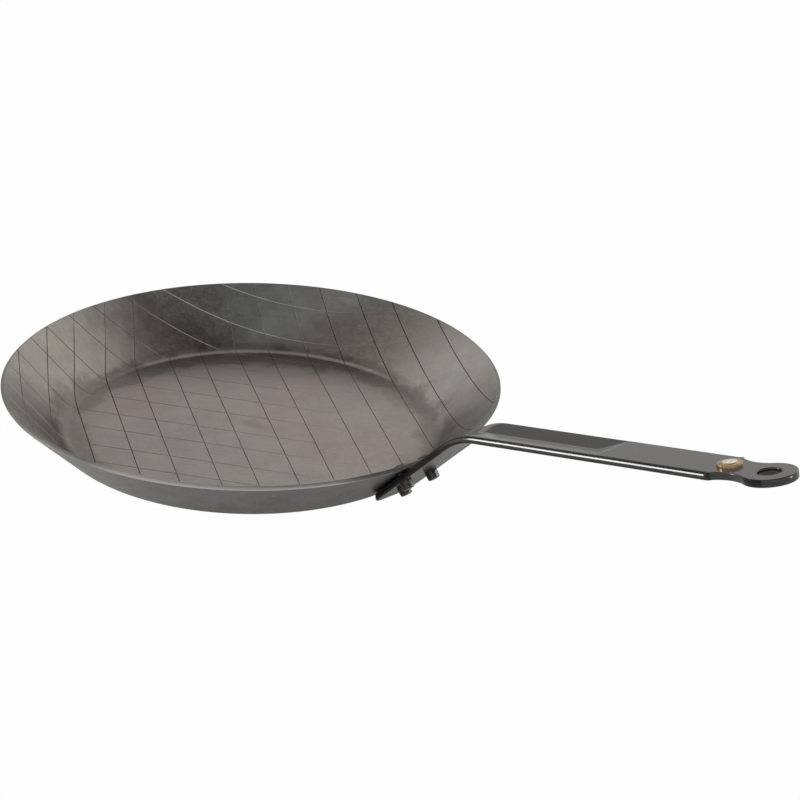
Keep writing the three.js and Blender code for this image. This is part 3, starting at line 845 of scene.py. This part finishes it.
def rivet_steel(patches):
    material, tree, shader, place = new_material("rivet_steel", metallic=1.0)
    blotch = patchy(tree, patches, place, 500.0, 0.3, 0.7)
    # Painted highlight: light spots on the side of the rivet heads that faces the light.
    painted_highlight_spots = times(tree, attribute(tree, "bare_and_highlight"), blotch)
    colour = mix(tree, painted_highlight_spots, mix(tree, blotch, *RIVET_BLACK), RIVET_HIGHLIGHT)
    dress(tree, shader, colour, plus(tree, blotch, 0.08, 0.22), blotch, 0.25, 0.0002)
    return material


def medallion_copper(patches):
    material, tree, shader, place = new_material("medallion_copper", metallic=1.0)
    blotch = patchy(tree, patches, place, 400.0, 0.3, 0.7)
    away = vector_value(tree, "DISTANCE", place, bent(Vector((MEDALLION, 0, 0))))
    on_boss = between(tree, away, BOSS_RADIUS + 0.0004, BOSS_RADIUS)
    colour = mix(tree, on_boss, mix(tree, blotch, *COPPER), POLISHED_CENTRE)
    dress(tree, shader, colour, plus(tree, blotch, 0.1, 0.2), blotch, 0.1, 0.0001)
    return material


# Studio

def make_camera():
    data = bpy.data.cameras.new("photo_camera")
    data.lens = CAMERA_LENS
    data.sensor_width = CAMERA_SENSOR
    camera = in_scene("photo_camera", data)
    turn = Matrix.Rotation(CAMERA_AZIMUTH, 4, "Z") @ Matrix.Rotation(math.pi / 2 - CAMERA_PITCH, 4, "X")
    roll = Matrix.Rotation(CAMERA_ROLL, 4, "Z")
    back = Matrix.Translation((0, 0, CAMERA_DISTANCE))
    camera.matrix_world = Matrix.Translation(CAMERA_TARGET) @ turn @ roll @ back
    bpy.context.scene.camera = camera


def floor_white():
    """Matt and light, plain white to the camera and a little brighter in reflections."""
    material = bpy.data.materials.new("studio_floor")
    material.use_nodes = True
    tree = material.node_tree
    shader = tree.nodes["Principled BSDF"]
    connect(tree, shader, {"Base Color": (0.85, 0.85, 0.85, 1), "Roughness": 0.9, "Specular IOR Level": 0.0})
    white = add(tree, "ShaderNodeEmission", {"Color": WHITE, "Strength": 1.0})
    path = add(tree, "ShaderNodeLightPath")
    share = plus(tree, path.outputs["Is Glossy Ray"], 0.2, times(tree, path.outputs["Is Camera Ray"], 0.985))
    blend = add(tree, "ShaderNodeMixShader", {0: share, 1: shader.outputs[0], 2: white.outputs[0]})
    tree.links.new(blend.outputs[0], tree.nodes["Material Output"].inputs["Surface"])
    return material


def make_floor():
    bm = bmesh.new()
    bmesh.ops.create_circle(bm, cap_ends=True, radius=STUDIO_RADIUS, segments=64)
    mesh = bpy.data.meshes.new("studio_floor")
    bm.to_mesh(mesh)
    bm.free()
    mesh.materials.append(floor_white())
    in_scene("studio_floor", mesh)


def make_world():
    world = bpy.data.worlds.new("studio")
    bpy.context.scene.world = world
    world.use_nodes = True
    tree = world.node_tree
    way = add(tree, "ShaderNodeTexCoord").outputs["Generated"]
    height = add(tree, "ShaderNodeSeparateXYZ", {0: way}).outputs[2]
    ramp = add(tree, "ShaderNodeValToRGB", {"Fac": height})
    stops = ramp.color_ramp.elements
    stops.remove(stops[1])
    for position, grey in SKY:
        stops.new(position).color = (grey, grey, grey, 1)
    stops[0].color = (SKY_LOW, SKY_LOW, SKY_LOW, 1)
    level = ramp.outputs[0]
    turn = Matrix.Rotation(CAMERA_AZIMUTH, 3, "Z")
    for direction, wide, narrow, change in SKY_FIELDS:
        facing = vector_value(tree, "DOT_PRODUCT", way, turn @ Vector(direction))
        level = plus(tree, between(tree, facing, wide, narrow), change, level)
    seen = add(tree, "ShaderNodeLightPath").outputs["Is Camera Ray"]
    colour = mix(tree, seen, scaled(tree, SKY_TINT, level), WHITE)
    tree.links.new(colour, tree.nodes["Background"].inputs["Color"])


def make_lamp(name, azimuth, elevation, distance, width, height, power):
    """A softbox that faces the pan, placed by its angles as the camera sees them."""
    data = bpy.data.lights.new(name, "AREA")
    data.shape = "RECTANGLE"
    data.size = width
    data.size_y = height
    data.energy = power
    lamp = in_scene(name, data)
    turn = Matrix.Rotation(CAMERA_AZIMUTH + math.radians(azimuth), 4, "Z")
    tilt = Matrix.Rotation(math.pi / 2 - math.radians(elevation), 4, "X")
    lamp.matrix_world = Matrix.Translation(CAMERA_TARGET) @ turn @ tilt @ Matrix.Translation((0, 0, distance))


make_camera()
make_floor()
make_world()
make_lamp("left_softbox", -91, 16.7, 1.51, 0.45, 0.32, 5.4)
make_lamp("right_softbox", 130, 12, 1.6, 0.2, 0.2, 1)
make_lamp("side_softbox", 75, 8, 1.5, 0.2, 0.2, 1.2)

patches = make_patches()
make_pan(pan_steel(patches, make_grain()))
make_handle(handle_coat(patches))
rivet_finish = rivet_steel(patches)
make_rivet("rivet_left", UPPER_RIVETS, RIVET_SPREAD / 2, rivet_finish)
make_rivet("rivet_right", UPPER_RIVETS, -RIVET_SPREAD / 2, rivet_finish)
make_rivet("rivet_lower", LOWER_RIVET, 0, rivet_finish)
make_medallion(medallion_copper(patches))

bpy.context.scene.view_settings.view_transform = "Standard"
